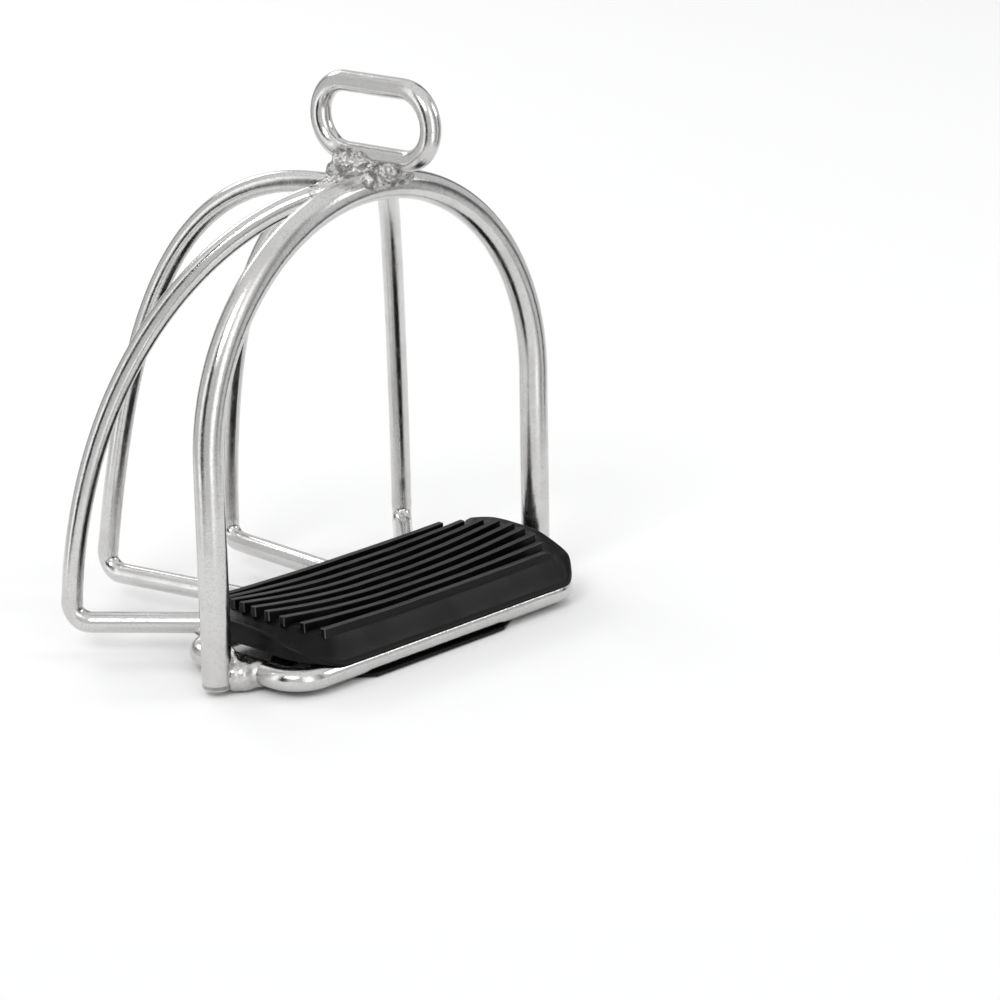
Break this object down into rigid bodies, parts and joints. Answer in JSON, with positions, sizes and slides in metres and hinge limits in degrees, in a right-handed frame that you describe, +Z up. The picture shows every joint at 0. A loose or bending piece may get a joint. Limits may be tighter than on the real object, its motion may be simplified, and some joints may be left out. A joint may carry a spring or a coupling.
{
  "type": "caged safety stirrup iron",
  "caption": "Riding stirrup iron of bright round rod: arch with a leather eye on the crown, a toe cage of bent bars, and a ribbed black rubber tread pad with hinged lips.",
  "frame": {"origin": "under the middle of the whole iron, on the surface that it stands on", "axes": "+X along the tread from the left leg to the right one, +Y from the heel side towards the toe cage, +Z up towards the leather eye"},
  "size_m": [0.1374, 0.11, 0.1571],
  "materials": {
    "bright_rod": "bright satin, fine lengthwise grain",
    "weld_metal": "shiny and lumpy, as run",
    "pad_rubber": "moulded, half matt",
    "lip_rubber": "moulded, half matt"
  },
  "bodies": {
    "iron": {"arch": "bright_rod", "tread_frame": "bright_rod", "leather_eye": "bright_rod", "cage_bar_1": "bright_rod", "cage_bar_2": "bright_rod", "cage_bar_3": "bright_rod", "cage_bar_4": "bright_rod", "crown_weld": "weld_metal", "leg_weld_left": "weld_metal", "leg_weld_right": "weld_metal", "bar_weld_1": "weld_metal", "bar_weld_2": "weld_metal", "bar_weld_3": "weld_metal", "bar_weld_4": "weld_metal"},
    "pad": {"tread_pad": "pad_rubber"},
    "heel_lip": {"pad_lip_heel": "lip_rubber"},
    "toe_lip": {"pad_lip_toe": "lip_rubber"}
  },
  "joints": [
    {"name": "pad_lift", "type": "slide", "parent": "iron", "child": "pad", "axis": [0, 0, 1], "range_m": [0, 0.02]},
    {"name": "heel_lip_fold", "type": "hinge", "parent": "pad", "child": "heel_lip", "pos_m": [0.00072, -0.0388, 0.00055], "axis": [1, 0, 0], "range_deg": [0, 104]},
    {"name": "toe_lip_fold", "type": "hinge", "parent": "pad", "child": "toe_lip", "pos_m": [0.00072, -0.02881, 0.00055], "axis": [-1, 0, 0], "range_deg": [0, 88]}
  ],
  "couplings": [
    {"joint": "heel_lip_fold", "follows": "pad_lift", "rad_per_m": 90},
    {"joint": "toe_lip_fold", "follows": "pad_lift", "rad_per_m": 76}
  ]
}
